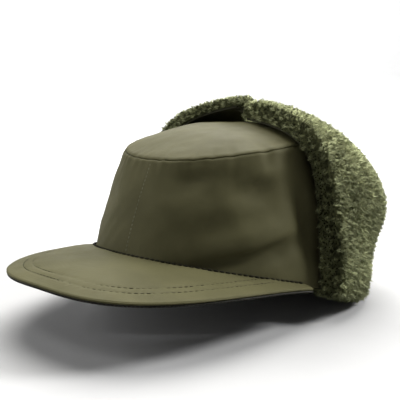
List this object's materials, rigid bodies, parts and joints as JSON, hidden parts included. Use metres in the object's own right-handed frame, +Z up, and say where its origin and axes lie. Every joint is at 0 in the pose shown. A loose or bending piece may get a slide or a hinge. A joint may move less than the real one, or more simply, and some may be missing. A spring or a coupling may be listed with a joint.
{
  "type": "hunting cap",
  "caption": "Soft cloth hunting cap with a long stitched peak and a curly pile ear and neck flap folded up round the crown.",
  "frame": {"origin": "on the ground, under the middle of the whole cap", "axes": "+Z up, -Y out of the peak, +X to the wearer's left"},
  "size_m": [0.2372, 0.3098, 0.1603],
  "materials": {
    "shell_cloth": "smooth woven cloth with a faint sheen",
    "peak_knit": "fine ribbed knit",
    "flap_cloth": "smooth woven cloth",
    "pile": "thick curly pile"
  },
  "bodies": {
    "root": {"crown_side_left": "shell_cloth", "crown_side_right": "shell_cloth", "crown_top": "shell_cloth", "peak_cover": "shell_cloth", "peak_underside": "peak_knit", "flap_shell_left": "flap_cloth", "flap_shell_right": "flap_cloth", "flap_tie_tab": "flap_cloth", "flap_pile_left": "pile", "flap_pile_right": "pile"}
  },
  "joints": []
}
